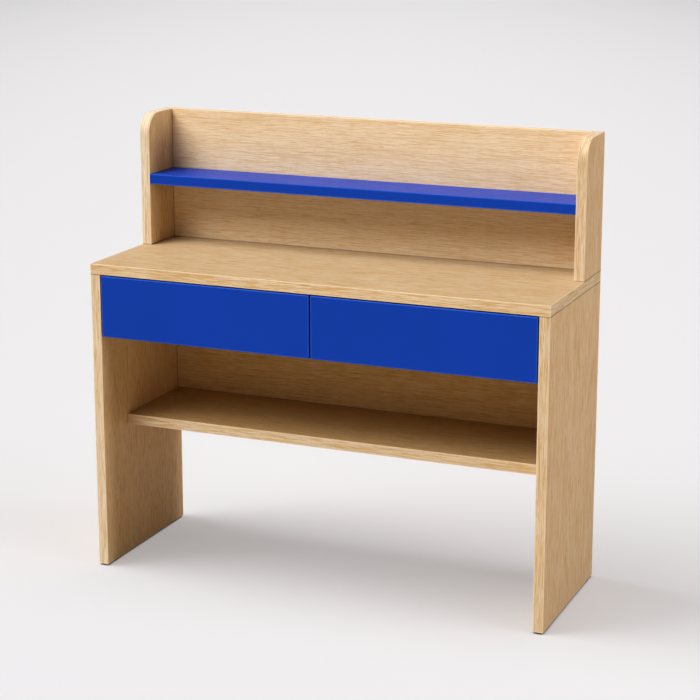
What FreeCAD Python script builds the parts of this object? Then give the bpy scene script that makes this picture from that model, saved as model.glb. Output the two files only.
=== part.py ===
import FreeCAD, Part
import math
import os

from FreeCAD import Vector

# Student desk with hutch, in millimetres. The origin lies on the floor under the middle of the
# desk, +Z is up, +X is to the right of somebody who faces the desk, and the front faces -Y.

# Overall sizes
WIDTH = 1150.0
DEPTH = 400.0
DESK_HEIGHT = 765.0
HUTCH_HEIGHT = 330.0
HUTCH_DEPTH = 140.0

# Boards
BOARD = 25.0                 # legs, desktop, shelves and hutch sides
BACK_BOARD = 18.0            # back panels and drawer divider
EDGE_ROUND = 0.8             # rounding of the edges that show
HUTCH_CORNER_RADIUS = 52.0   # rounded top front corner of the hutch sides

# Shelves
LOWER_SHELF_TOP = 362.0
LOWER_SHELF_SETBACK = 115.0
HUTCH_BAY_HEIGHT = 155.0     # clear height from the desktop to the hutch shelf

# Glides under the leg panels
GLIDE_RADIUS = 9.0
GLIDE_HEIGHT = 4.0
GLIDE_INSET = 45.0

# Drawer fronts
FRONT_THICKNESS = 19.0
FRONT_HEIGHT = 150.0
FRONT_GAP = 3.0              # gap at the sides and the top of a front
CENTRE_GAP = 4.0             # gap between the two fronts
FRONT_ROUND = 1.5
FINGER_BEVEL = 7.0           # bevel behind the lower edge, for the fingers

# Drawer boxes
SIDE_BOARD = 15.0
BOX_HEIGHT = 110.0
BOTTOM_SHEET = 4.0
BOTTOM_RISE = 10.0           # from the lower edge of a side to the groove
GROOVE_DEPTH = 5.0
HOUSING_DEPTH = 6.0          # how far a side is let into the front
BACK_INSET = 10.0            # from the rear end of a side to the back
SPACE_BEHIND_BOX = 33.0
BOX_RISE = 14.4              # from the lower edge of a front to that of a side

# Roller runners: a runner on the wall and a rail on the drawer side
SHEET = 1.2
SLIDE_SPACE = 12.5           # between the wall and the drawer side
WHEEL_RADIUS = 8.0
WHEEL_WIDTH = 5.0
WHEEL_OFFSET = 3.0           # from the wall to the tread
ROLL_GAP = 0.3               # between a wheel and its track
WHEEL_PLAY = 0.7             # above the rear wheel
FLANGE_GAP = 0.8             # between the runner's flanges and the rail
TOP_FLANGE_REACH = 5.0
LIP = 1.6                    # height of the lips above their flanges
RAIL_LIP = 2.0
RAIL_FOOT = 11.0             # how far the rail reaches under the drawer side
AXLE_INSET = 12.0            # from the end of a runner or a rail to its axle
AXLE_RADIUS = 2.0
AXLE_HEAD_RADIUS = 3.6
AXLE_HEAD = 0.8
BEARING_GAP = 0.08
HUB_RADIUS = 3.4
HUB_GAP = 0.2
RUNNER_SETBACK = 2.0         # behind the drawer fronts
TRAVEL = 245.0
STOP_GAP = 0.5
STOP_HEIGHT = 7.0
STOP_REACH = 5.0
WHEEL_CLEARANCE = 6.0        # cut in the runner's top flange, past the front wheel

# Fasteners
CAM_RADIUS = 7.4
CAM_BELOW_BOLT = 4.5         # how much deeper the cam reaches than the bolt's axis
CAM_EDGE = 34.0              # from the edge of the board to the cam's centre
CAM_SLOT = 9.0
CAM_SLOT_WIDTH = 1.8
CAM_SLOT_DEPTH = 2.0
CAM_BOLT_RADIUS = 3.0
CAM_BOLT_GRIP = 11.0
CAM_BORE_RADIUS = 4.0
DOWEL_RADIUS = 4.0
DOWEL_GRIP = 15.0
FIT = 0.1                    # clearance of a fastener or a tongue in its seat
END_GAP = 0.3                # clearance at the end of a fastener

# Places of the fasteners, from the front and the rear of a board
CAM_INSET = 65.0
HUTCH_DOWEL_INSET = 32.0

# Places that follow from the sizes above
SIDE = WIDTH / 2
INNER = SIDE - BOARD
FRONT = -DEPTH / 2
REAR = DEPTH / 2
UNDER_TOP = DESK_HEIGHT - BOARD
TOTAL_HEIGHT = DESK_HEIGHT + HUTCH_HEIGHT
BACK_FACE = REAR - BACK_BOARD
HUTCH_FRONT = REAR - HUTCH_DEPTH
HUTCH_SHELF_BOTTOM = DESK_HEIGHT + HUTCH_BAY_HEIGHT
FRONT_BACK = FRONT + FRONT_THICKNESS
FRONT_TOP = UNDER_TOP - FRONT_GAP
FRONT_BOTTOM = FRONT_TOP - FRONT_HEIGHT
BOX_BOTTOM = FRONT_BOTTOM + BOX_RISE
RUNNER_BASE = BOX_BOTTOM - 2 * SHEET
RUNNER_START = FRONT_BACK + RUNNER_SETBACK
BOX_END = BACK_FACE - SPACE_BEHIND_BOX
RUNNER_END = BOX_END + RUNNER_SETBACK
DIVIDER = BACK_BOARD / 2

# Section of the slide: "out" is measured from the wall, "up" from the runner's base
REAR_WHEEL_UP = SHEET + ROLL_GAP + WHEEL_RADIUS
TOP_FLANGE_UP = REAR_WHEEL_UP + WHEEL_RADIUS + WHEEL_PLAY
RAIL_FLANGE_UP = TOP_FLANGE_UP + SHEET + FLANGE_GAP
FRONT_WHEEL_UP = RAIL_FLANGE_UP - ROLL_GAP - WHEEL_RADIUS
RAIL_WEB_OUT = SLIDE_SPACE - SHEET
TREAD_END = WHEEL_OFFSET + WHEEL_WIDTH
FRONT_AXLE = RUNNER_START + AXLE_INSET
REAR_AXLE = BOX_END - AXLE_INSET

UP = Vector(0, 0, 1)
RIGHT = Vector(1, 0, 0)


def block(x, y, z):
    """A plain block between the pairs of limits x, y and z."""
    corner = Vector(x[0], y[0], z[0])
    return Part.makeBox(x[1] - x[0], y[1] - y[0], z[1] - z[0], corner)


def profile(a, b, radii, place):
    """A rectangle between the limits a and b as a face; place(a, b) gives its points in space.

    radii are those of its corners: both low, high a, both high, and high b.
    """
    corners = (
        (a[0], b[0], (0, 1), (1, 0)),
        (a[1], b[0], (-1, 0), (0, 1)),
        (a[1], b[1], (0, -1), (-1, 0)),
        (a[0], b[1], (1, 0), (0, -1)),
    )
    bends = []
    for (x, y, back, on), radius in zip(corners, radii):
        start = place(x + back[0] * radius, y + back[1] * radius)
        end = place(x + on[0] * radius, y + on[1] * radius)
        inset = radius * (1 - math.sqrt(0.5))
        middle = place(x + (back[0] + on[0]) * inset, y + (back[1] + on[1]) * inset)
        bends.append((start, middle, end, radius))
    edges = []
    for number, (start, middle, end, radius) in enumerate(bends):
        if radius:
            edges.append(Part.Arc(start, middle, end).toShape())
        following = bends[(number + 1) % len(bends)][0]
        edges.append(Part.LineSegment(end, following).toShape())
    return Part.Face(Part.Wire(edges))


def board_along_x(x, y, z, *rounded):
    """A board between the limits x, y and z. The edges named in rounded are eased."""
    names = ("front bottom", "rear bottom", "rear top", "front top")
    radii = [EDGE_ROUND if name in rounded else 0 for name in names]
    face = profile(y, z, radii, lambda a, b: Vector(x[0], a, b))
    return face.extrude(Vector(x[1] - x[0], 0, 0))


def polygon(points):
    return Part.Face(Part.makePolygon(points + points[:1]))


def near(a, b):
    return abs(a - b) < 1e-6


# ---- Fasteners and the holes that they need ----


class Joinery:
    """Collects the fasteners, and for each board the holes to be cut for them."""

    def __init__(self):
        self.holes = {}
        self.cams = []
        self.bolts = []
        self.dowels = []

    def drill(self, node, tool):
        self.holes.setdefault(node, []).append(tool)

    def cam(self, host, receiver, centre, outward, towards, thickness):
        """A cam lock set in a face of host, whose bolt runs towards the receiving board.

        centre lies on the face, outward is the face's normal and thickness is the host's.
        """
        depth = thickness / 2 + CAM_BELOW_BOLT
        inward = outward * -1
        on_axis = centre + inward * (thickness / 2)
        joint = on_axis + towards * CAM_EDGE
        self.cams.append(cam_lock(centre, inward, towards, depth))
        pocket = Part.makeCylinder(CAM_RADIUS + FIT, depth + END_GAP, centre, inward)
        bore = Part.makeCylinder(CAM_BORE_RADIUS, CAM_EDGE, on_axis, towards)
        self.drill(host, pocket.fuse(bore))
        radius = CAM_BOLT_RADIUS + FIT
        grip = Part.makeCylinder(radius, CAM_BOLT_GRIP + END_GAP, joint, towards)
        self.drill(receiver, grip)
        clear = CAM_RADIUS + END_GAP
        length = CAM_EDGE + CAM_BOLT_GRIP - clear
        start = on_axis + towards * clear
        self.bolts.append(Part.makeCylinder(CAM_BOLT_RADIUS, length, start, towards))

    def dowel(self, first, second, joint, direction):
        """A wooden dowel across the joint between two boards, half in each."""
        start = joint - direction * DOWEL_GRIP
        self.dowels.append(
            Part.makeCylinder(DOWEL_RADIUS, 2 * DOWEL_GRIP, start, direction)
        )
        for node, way in ((first, -1), (second, 1)):
            hole = Part.makeCylinder(
                DOWEL_RADIUS + FIT, DOWEL_GRIP + END_GAP, joint, direction * way
            )
            self.drill(node, hole)

    def cut(self, node, shape):
        for tool in self.holes.get(node, []):
            shape = shape.cut(tool)
        return shape


def cam_lock(centre, inward, towards, depth):
    """A cam: a short cylinder with a slot for the screwdriver, square to its bolt."""
    across = inward.cross(towards)
    start = centre - across * (CAM_SLOT / 2) - towards * (CAM_SLOT_WIDTH / 2)
    length = across * CAM_SLOT
    width = towards * CAM_SLOT_WIDTH
    slot = polygon([start, start + length, start + length + width, start + width])
    body = Part.makeCylinder(CAM_RADIUS, depth, centre, inward)
    return body.cut(slot.extrude(inward * CAM_SLOT_DEPTH))


def desk_joinery():
    """Every fastener of the desk and the hutch."""
    joinery = Joinery()
    for side, wall in (("left", -1), ("right", 1)):
        leg = side + "_leg_panel"
        outwards = RIGHT * wall
        for y in (FRONT + CAM_INSET, REAR - CAM_INSET):
            on_leg = Vector(wall * INNER, y, UNDER_TOP - CAM_EDGE)
            joinery.cam(leg, "desktop", on_leg, outwards * -1, UP, BOARD)
        middle = wall * (SIDE - BOARD / 2)
        for y in (HUTCH_FRONT + HUTCH_DOWEL_INSET, REAR - HUTCH_DOWEL_INSET):
            foot = Vector(middle, y, DESK_HEIGHT)
            joinery.dowel("desktop", "hutch_" + side + "_side", foot, UP)
    return joinery


# ---- Boards of the desk ----


def leg_panel(wall):
    """A full-depth panel, with both upright edges at the front eased."""
    x = sorted((wall * INNER, wall * SIDE))
    radii = (EDGE_ROUND, EDGE_ROUND, 0, 0)
    face = profile(x, (FRONT, REAR), radii, lambda a, b: Vector(a, b, GLIDE_HEIGHT))
    return face.extrude(Vector(0, 0, UNDER_TOP - GLIDE_HEIGHT))


def foot_glides():
    """Four round glides, under the middle of the legs' thickness."""
    glides = []
    for x in (BOARD / 2 - SIDE, SIDE - BOARD / 2):
        for y in (FRONT + GLIDE_INSET, REAR - GLIDE_INSET):
            glides.append(Part.makeCylinder(GLIDE_RADIUS, GLIDE_HEIGHT, Vector(x, y, 0)))
    return Part.makeCompound(glides)


def desktop():
    z = (UNDER_TOP, DESK_HEIGHT)
    return board_along_x((-SIDE, SIDE), (FRONT, REAR), z, "front bottom", "front top")


def lower_shelf():
    y = (FRONT + LOWER_SHELF_SETBACK, REAR)
    z = (LOWER_SHELF_TOP - BOARD, LOWER_SHELF_TOP)
    return board_along_x((-INNER, INNER), y, z, "front bottom", "front top")


def lower_back_panel():
    z = (LOWER_SHELF_TOP, UNDER_TOP)
    return board_along_x((-INNER, INNER), (BACK_FACE, REAR), z)


def drawer_divider():
    return block((-DIVIDER, DIVIDER), (RUNNER_START, BACK_FACE), (RUNNER_BASE, UNDER_TOP))


def hutch_side(wall):
    """A side with a large round at its top front corner, and its front and top edges eased."""
    x0 = min(wall * INNER, wall * SIDE)
    x1 = x0 + BOARD
    radius = HUTCH_CORNER_RADIUS
    bend = radius * (1 - math.sqrt(0.5))
    foot = Vector(x0, HUTCH_FRONT, DESK_HEIGHT)
    arc_start = Vector(x0, HUTCH_FRONT, TOTAL_HEIGHT - radius)
    arc_middle = Vector(x0, HUTCH_FRONT + bend, TOTAL_HEIGHT - bend)
    arc_end = Vector(x0, HUTCH_FRONT + radius, TOTAL_HEIGHT)
    rear_top = Vector(x0, REAR, TOTAL_HEIGHT)
    rear_foot = Vector(x0, REAR, DESK_HEIGHT)
    edges = [
        Part.LineSegment(foot, arc_start).toShape(),
        Part.Arc(arc_start, arc_middle, arc_end).toShape(),
        Part.LineSegment(arc_end, rear_top).toShape(),
        Part.LineSegment(rear_top, rear_foot).toShape(),
        Part.LineSegment(rear_foot, foot).toShape(),
    ]
    side = Part.Face(Part.Wire(edges)).extrude(Vector(BOARD, 0, 0))
    eased = []
    for edge in side.Edges:
        box = edge.BoundBox
        on_face = near(box.XLength, 0) and (near(box.XMin, x0) or near(box.XMin, x1))
        if on_face and not near(box.ZMax, DESK_HEIGHT) and not near(box.YMin, REAR):
            eased.append(edge)
    return side.makeChamfer(EDGE_ROUND, eased)


def hutch_back_panel():
    z = (DESK_HEIGHT, TOTAL_HEIGHT)
    y = (BACK_FACE, REAR)
    return board_along_x((-INNER, INNER), y, z, "front top", "rear top")


def hutch_shelf():
    y = (HUTCH_FRONT, BACK_FACE)
    z = (HUTCH_SHELF_BOTTOM, HUTCH_SHELF_BOTTOM + BOARD)
    return board_along_x((-INNER, INNER), y, z, "front bottom", "front top")


# ---- Roller runners ----


def slide_section(points, wall, inward, y):
    """Extrudes a section of (out, up) points along y; inward is the way from the wall, 1 or -1."""
    corners = [
        Vector(wall + inward * out, y[0], RUNNER_BASE + up) for out, up in points
    ]
    return polygon(corners).extrude(Vector(0, y[1] - y[0], 0))


def turned(outline, wall, inward, y, up):
    """A body of revolution about an axle: outline holds (out, radius) points."""
    centre = Vector(wall, y, RUNNER_BASE + up)
    points = [centre + RIGHT * (inward * out) + UP * radius for out, radius in outline]
    return polygon(points).revolve(centre, RIGHT, 360)


def runner(wall, inward):
    """The channel on the wall, cut open above the front wheel, with the wheel's riveted axle.

    A tab in the channel stops the rear wheel when the drawer is fully open.
    """
    flange_end = RAIL_WEB_OUT - FLANGE_GAP
    top = TOP_FLANGE_UP + SHEET
    section = [
        (0, 0),
        (flange_end, 0),
        (flange_end, SHEET + LIP),
        (flange_end - SHEET, SHEET + LIP),
        (flange_end - SHEET, SHEET),
        (SHEET, SHEET),
        (SHEET, TOP_FLANGE_UP),
        (TOP_FLANGE_REACH, TOP_FLANGE_UP),
        (TOP_FLANGE_REACH, top),
        (0, top),
    ]
    channel = slide_section(section, wall, inward, (RUNNER_START, RUNNER_END))
    cleared = FRONT_AXLE + WHEEL_RADIUS + WHEEL_CLEARANCE
    x = sorted((wall + inward * SHEET, wall + inward * (TOP_FLANGE_REACH + SHEET)))
    z = (RUNNER_BASE + TOP_FLANGE_UP - SHEET, RUNNER_BASE + top + SHEET)
    channel = channel.cut(block(x, (RUNNER_START - SHEET, cleared), z))
    stop_y = REAR_AXLE - TRAVEL - WHEEL_RADIUS - STOP_GAP
    x = sorted((wall, wall + inward * STOP_REACH))
    middle = RUNNER_BASE + REAR_WHEEL_UP
    z = (middle - STOP_HEIGHT / 2, middle + STOP_HEIGHT / 2)
    stop = block(x, (stop_y - SHEET, stop_y), z)
    axle = riveted_axle(SHEET, TREAD_END + HUB_GAP, AXLE_HEAD)
    axle = turned(axle, wall, inward, FRONT_AXLE, FRONT_WHEEL_UP)
    return channel.fuse([stop, axle]).removeSplitter()


def rail(wall, inward):
    """The angle under and beside a drawer side, with the rear wheel's riveted axle.

    Its outer flange rolls on the front wheel.
    """
    foot_end = SLIDE_SPACE + RAIL_FOOT
    section = [
        (RAIL_WEB_OUT, SHEET),
        (foot_end, SHEET),
        (foot_end, 2 * SHEET),
        (SLIDE_SPACE, 2 * SHEET),
        (SLIDE_SPACE, RAIL_FLANGE_UP + SHEET),
        (WHEEL_OFFSET + SHEET, RAIL_FLANGE_UP + SHEET),
        (WHEEL_OFFSET + SHEET, RAIL_FLANGE_UP + SHEET + RAIL_LIP),
        (WHEEL_OFFSET, RAIL_FLANGE_UP + SHEET + RAIL_LIP),
        (WHEEL_OFFSET, RAIL_FLANGE_UP),
        (RAIL_WEB_OUT, RAIL_FLANGE_UP),
    ]
    angle = slide_section(section, wall, inward, (RUNNER_START, BOX_END))
    axle = riveted_axle(RAIL_WEB_OUT, WHEEL_OFFSET - HUB_GAP, -AXLE_HEAD)
    axle = turned(axle, wall, inward, REAR_AXLE, REAR_WHEEL_UP)
    return angle.fuse(axle).removeSplitter()


def riveted_axle(web, head, thickness):
    """The outline of a rivet's shank from a web to its head."""
    return [
        (web, 0),
        (web, AXLE_RADIUS),
        (head, AXLE_RADIUS),
        (head, AXLE_HEAD_RADIUS),
        (head + thickness, AXLE_HEAD_RADIUS),
        (head + thickness, 0),
    ]


def wheel_outline(hub, shoulder, far):
    """A nylon wheel with a tapered hub, from the hub's end past the shoulder to the far face."""
    bore = AXLE_RADIUS + BEARING_GAP
    return [
        (hub, bore),
        (hub, HUB_RADIUS),
        (shoulder, WHEEL_RADIUS),
        (far, WHEEL_RADIUS),
        (far, bore),
    ]


def front_wheel(wall, inward):
    """The wheel on the runner, its hub towards the runner's web."""
    outline = wheel_outline(SHEET + HUB_GAP, WHEEL_OFFSET, TREAD_END)
    return turned(outline, wall, inward, FRONT_AXLE, FRONT_WHEEL_UP)


def rear_wheel(wall, inward):
    """The wheel on the rail, its hub towards the rail's web."""
    outline = wheel_outline(RAIL_WEB_OUT - HUB_GAP, TREAD_END, WHEEL_OFFSET)
    return turned(outline, wall, inward, REAR_AXLE, REAR_WHEEL_UP)


# ---- Drawers ----


class Drawer:
    """The sizes of one drawer, from the limits of its front and of its bay."""

    def __init__(self, name, front, bay):
        self.name = name
        self.front = front
        self.bay = bay
        self.walls = (("left", bay[0], 1), ("right", bay[1], -1))
        self.outside = (bay[0] + SLIDE_SPACE, bay[1] - SLIDE_SPACE)
        self.inside = (self.outside[0] + SIDE_BOARD, self.outside[1] - SIDE_BOARD)
        self.grooves = (self.inside[0] - GROOVE_DEPTH, self.inside[1] + GROOVE_DEPTH)


def side_limits(drawer, side):
    if side == "left":
        return drawer.outside[0], drawer.inside[0]
    return drawer.inside[1], drawer.outside[1]


def bottom_groove():
    z = BOX_BOTTOM + BOTTOM_RISE
    return z, z + BOTTOM_SHEET + FIT


def back_limits():
    rear = BOX_END - BACK_INSET
    return rear - SIDE_BOARD, rear


def drawer_front(drawer):
    """A front with rounded edges, a finger bevel, and housings for the sides and the bottom."""
    panel = block(drawer.front, (FRONT, FRONT_BACK), (FRONT_BOTTOM, FRONT_TOP))
    lower_rear = [
        edge
        for edge in panel.Edges
        if near(edge.BoundBox.YMin, FRONT_BACK) and near(edge.BoundBox.ZMax, FRONT_BOTTOM)
    ]
    panel = panel.makeChamfer(FINGER_BEVEL, lower_rear)
    outline = [edge for edge in panel.Edges if near(edge.BoundBox.YMax, FRONT)]
    panel = panel.makeFillet(FRONT_ROUND, outline)
    housing_y = (FRONT_BACK - HOUSING_DEPTH, FRONT_BACK)
    housing_z = (BOX_BOTTOM - FIT, BOX_BOTTOM + BOX_HEIGHT + FIT)
    for side, _, _ in drawer.walls:
        x = side_limits(drawer, side)
        panel = panel.cut(block((x[0] - FIT, x[1] + FIT), housing_y, housing_z))
    groove_y = (FRONT_BACK - GROOVE_DEPTH, FRONT_BACK)
    return panel.cut(block(drawer.inside, groove_y, bottom_groove()))


def drawer_side(drawer, side):
    """A side with the groove for the bottom and the housing for the back."""
    y = (FRONT_BACK - HOUSING_DEPTH, BOX_END)
    top = BOX_BOTTOM + BOX_HEIGHT
    panel = block(side_limits(drawer, side), y, (BOX_BOTTOM, top))
    groove_z = bottom_groove()
    back = back_limits()
    back = (back[0] - FIT, back[1] + FIT)
    panel = panel.cut(block(drawer.grooves, y, groove_z))
    return panel.cut(block(drawer.grooves, back, (groove_z[1], top)))


def drawer_back(drawer):
    x = (drawer.grooves[0] + FIT, drawer.grooves[1] - FIT)
    floor = bottom_groove()[0] + BOTTOM_SHEET
    return block(x, back_limits(), (floor, BOX_BOTTOM + BOX_HEIGHT))


def drawer_bottom(drawer):
    x = (drawer.grooves[0] + END_GAP, drawer.grooves[1] - END_GAP)
    y = (FRONT_BACK - GROOVE_DEPTH + END_GAP, BOX_END)
    floor = bottom_groove()[0]
    return block(x, y, (floor, floor + BOTTOM_SHEET))


def drawer_nodes(drawer):
    """The nodes of one drawer, its rails and wheels, and the runners that carry it."""
    name = drawer.name
    nodes = {
        name + "_front": drawer_front(drawer),
        name + "_back": drawer_back(drawer),
        name + "_bottom": drawer_bottom(drawer),
    }
    front_wheels = []
    rear_wheels = []
    for side, wall, inward in drawer.walls:
        prefix = name + "_" + side
        nodes[prefix + "_side"] = drawer_side(drawer, side)
        nodes[prefix + "_rail"] = rail(wall, inward)
        nodes[prefix + "_runner"] = runner(wall, inward)
        front_wheels.append(front_wheel(wall, inward))
        rear_wheels.append(rear_wheel(wall, inward))
    nodes[name + "_front_wheels"] = Part.makeCompound(front_wheels)
    nodes[name + "_rear_wheels"] = Part.makeCompound(rear_wheels)
    return nodes


def drawers():
    half_gap = CENTRE_GAP / 2
    edge = INNER - FRONT_GAP
    return (
        Drawer("left_drawer", (-edge, -half_gap), (-INNER, -DIVIDER)),
        Drawer("right_drawer", (half_gap, edge), (DIVIDER, INNER)),
    )


# ---- The whole desk ----


def build():
    """Every node of the desk by its name."""
    nodes = {
        "desktop": desktop(),
        "lower_shelf": lower_shelf(),
        "lower_back_panel": lower_back_panel(),
        "drawer_divider": drawer_divider(),
        "hutch_back_panel": hutch_back_panel(),
        "hutch_shelf": hutch_shelf(),
        "foot_glides": foot_glides(),
    }
    for side, wall in (("left", -1), ("right", 1)):
        nodes[side + "_leg_panel"] = leg_panel(wall)
        nodes["hutch_" + side + "_side"] = hutch_side(wall)
    joinery = desk_joinery()
    for name in nodes:
        nodes[name] = joinery.cut(name, nodes[name])
    nodes["cam_locks"] = Part.makeCompound(joinery.cams)
    nodes["cam_bolts"] = Part.makeCompound(joinery.bolts)
    nodes["wooden_dowels"] = Part.makeCompound(joinery.dowels)
    for drawer in drawers():
        nodes.update(drawer_nodes(drawer))
    return nodes


os.makedirs("parts", exist_ok=True)
for node_name, node_shape in build().items():
    node_shape.exportStep("parts/" + node_name + ".step")
    volume = sum(solid.Volume for solid in node_shape.Solids)
    print(f"{node_name}: {len(node_shape.Solids)} solid(s), {volume / 1000:.1f} cm3")
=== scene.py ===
"""Student desk with hutch: finishes, small fittings and stage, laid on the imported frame."""

import math
from functools import cache
from typing import NamedTuple

import bmesh
import bpy
from bpy.props import (
    FloatProperty,
    FloatVectorProperty,
    IntProperty,
    PointerProperty,
)
from mathutils import Matrix, Vector


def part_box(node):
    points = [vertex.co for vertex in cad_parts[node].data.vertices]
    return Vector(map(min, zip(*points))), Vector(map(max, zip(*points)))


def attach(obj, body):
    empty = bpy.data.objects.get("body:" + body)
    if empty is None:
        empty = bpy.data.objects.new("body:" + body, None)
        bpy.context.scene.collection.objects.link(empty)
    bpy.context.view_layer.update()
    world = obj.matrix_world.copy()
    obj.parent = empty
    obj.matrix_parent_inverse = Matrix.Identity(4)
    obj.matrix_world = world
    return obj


bl_info = {
    "name": "Student Desk with Hutch",
    "version": (1, 0, 0),
    "blender": (4, 5, 0),
    "location": "View3D > Sidebar > Desk",
    "description": "Dresses a student desk: oak veneer, lacquer, slides, fittings and stage",
    "category": "Object",
}

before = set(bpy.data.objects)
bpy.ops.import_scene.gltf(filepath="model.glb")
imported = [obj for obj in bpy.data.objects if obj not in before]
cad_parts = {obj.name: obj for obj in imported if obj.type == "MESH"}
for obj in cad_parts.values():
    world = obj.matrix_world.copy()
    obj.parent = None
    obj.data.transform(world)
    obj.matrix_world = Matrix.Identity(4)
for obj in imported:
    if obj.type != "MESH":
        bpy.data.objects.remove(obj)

# The desk's axes: to its right, to its back and up.
X, Y, Z = 0, 1, 2


class Board(NamedTuple):
    """An oak board: the axis of its grain, the axis square to its broad faces, the tints of its
    veneer and of its edge strips, which carry painted light and shade, how strong its streaks
    are, and the faces by which it is joined to other boards."""

    grain: int
    face: int
    veneer: tuple
    strip: tuple
    figure: float
    joined: tuple = ()


ENDS = ((X, -1), (X, 1))
# The veneer tints are painted light and shade, set board by board to even out how the lamps fall.
# The desktop's top and the lower shelf are darkened, and the shelf is also warmed for the shade
# under the drawers. The hutch's left side is darkened and warmed for the shade on its inner face.
# The hutch back, the lower back panel and the left leg are lightened. The strip tints are partly
# the edge strips' own paler tone and partly painted light, whiter on the boards at the left.
OAK_BOARDS = {
    "desktop": Board(X, Z, (0.78, 0.78, 0.77), (1.00, 1.07, 1.16), 0.85),
    "lower_shelf": Board(X, Z, (0.57, 0.50, 0.37), (1.01, 1.09, 1.19), 0.75, ENDS),
    "lower_back_panel": Board(
        X, Y, (1.10, 1.07, 0.90), (1.00, 1.00, 1.00), 0.72, (*ENDS, (Z, -1), (Z, 1))
    ),
    "hutch_back_panel": Board(
        X, Y, (1.16, 1.22, 1.28), (1.06, 1.10, 1.14), 0.56, (*ENDS, (Z, -1))
    ),
    "left_leg_panel": Board(Z, X, (1.12, 1.12, 1.06), (1.01, 1.14, 1.37), 0.75, ((Z, 1),)),
    "right_leg_panel": Board(Z, X, (1.00, 0.99, 0.98), (0.96, 1.04, 1.15), 0.75, ((Z, 1),)),
    "hutch_left_side": Board(Z, X, (0.93, 0.88, 0.74), (1.05, 1.22, 1.54), 0.80, ((Z, -1),)),
    "hutch_right_side": Board(Z, X, (0.97, 0.96, 0.95), (0.98, 1.08, 1.26), 0.80, ((Z, -1),)),
}
# The heights at which boards meet flush on the desk's outer sides.
SEAMS = [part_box("desktop")[0][Z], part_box("desktop")[1][Z]]
DRAWERS = ("left_drawer", "right_drawer")
# The two sides, and which way along X each looks outward.
SIDES = {"left": -1, "right": 1}


class Marks(NamedTuple):
    """Marks in wood: their length along the grain, their width, the detail of their noise, and
    its values at which they start and are full."""

    length: float
    width: float
    detail: float
    start: float
    full: float


FIBRES = Marks(0.070, 0.0009, 2.0, 0.36, 0.64)
STREAKS = Marks(0.140, 0.0038, 2.0, 0.42, 0.68)
DASHES = Marks(0.032, 0.0020, 2.0, 0.50, 0.60)
LINES = Marks(0.110, 0.0017, 1.0, 0.50, 0.58)
THREADS = Marks(0.060, 0.0020, 2.0, 0.53, 0.61)
PORES = Marks(0.0060, 0.0005, 1.0, 0.58, 0.68)
FOIL_LINES = Marks(0.24, 0.0040, 3.0, 0.42, 0.72)
BEECH_RAYS = Marks(0.0016, 0.0004, 2.0, 0.52, 0.70)
# The oak's arcs are sine waves: their phase in radians where the noise is 1.
ARC_PHASE = 90.0
# Length and width of the waves in which the grain strays.
WAVE_LENGTH = 0.30
WAVE_WIDTH = 0.08
# How far apart in one log two oak boards are cut, and a board and its edge strips, so that no
# two show the same marks.
LOG_STEP = 2.37
STRIP_STEP = 1.7
# The marks on an edge strip are longer than those on a face, by one over this.
STRIP_PACE = 0.7
# Where in the printed pattern the foil of the divider and of the first drawer is cut.
DIVIDER_FOIL, SIDE_FOIL, BACK_FOIL = 0.9, 3.1, 5.3
# A face belongs to an axis where its normal's part along that axis is larger than this.
SQUARE_ON = 0.7


class EdgeLine(NamedTuple):
    """A line along an edge: the distances from it at which the line is full and gone, and how
    much of the surface it covers."""

    full: float
    gone: float
    share: float


# Painted shade in the corners where boards meet.
JOINT_SHADE = EdgeLine(0.0008, 0.0030, 0.6)
# Painted highlight on the oak's free arrises.
ARRIS_HIGHLIGHT = EdgeLine(0.0010, 0.0030, 0.45)
# Painted shade in the seams where boards meet flush on the desk's outer sides.
SEAM_SHADE = EdgeLine(0.0009, 0.0020, 0.38)
# Painted highlight on the lacquered faces near their edges.
LACQUER_HIGHLIGHT = EdgeLine(0.0008, 0.0034, 0.8)

# Colours that have no setting. Each pair is a finish's main tone and its shade.
HARDBOARD = ((0.90, 0.87, 0.81), (0.78, 0.72, 0.63))
POWDER_COAT = ((0.90, 0.90, 0.89), (0.66, 0.66, 0.66))
NYLON = ((0.91, 0.90, 0.86), (0.80, 0.79, 0.74))
ZINC = ((0.80, 0.80, 0.81), (0.62, 0.63, 0.66))
GLIDE_PLASTIC = ((0.13, 0.12, 0.11), (0.09, 0.09, 0.09))
BEECH_SHADE = (0.74, 0.57, 0.40)
BEECH_RAY = (0.60, 0.42, 0.27)

# Thickness of the slides' steel sheet.
SHEET = 0.0012
# Edges of a fitting that turn by more than this stay sharp.
SHARP_ANGLE = math.radians(32)


class SlideScrews(NamedTuple):
    """The screws of a runner or a rail: their height above its lower edge, and their places along
    it, as shares of its length from the front."""

    rise: float
    shares: tuple


RUNNER_SCREWS = SlideScrews(0.0095, (0.115, 0.50, 0.86))
RAIL_SCREWS = SlideScrews(0.0112, (0.12, 0.45, 0.80))
# Places of the screws up a drawer's back, as shares of the height of the drawer's sides.
BOX_SCREW_SHARES = (0.30, 0.80)


class Caps(NamedTuple):
    """Caps under a shelf: the slot of their finish, their two tones, and how far they stand in
    from the shelf's front and back."""

    slot: str
    tones: tuple
    inset: float


SHELF_CAPS = {
    "lower_shelf": Caps("oak", ((0.77, 0.64, 0.48), (0.74, 0.60, 0.44)), 0.060),
    "hutch_shelf": Caps("blue_lacquer", ((0.08, 0.22, 0.64), (0.07, 0.20, 0.60)), 0.030),
}


class Lamp(NamedTuple):
    """A lamp: its name and strength, its angles to the left of the desk's front and above the
    floor, and its apparent size, which softens its shadows. All angles are in degrees."""

    name: str
    strength: float
    left: float
    above: float
    size: float


# Apparent size of a lamp behind a large diffuser, in degrees.
DIFFUSED = 42.0
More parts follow.
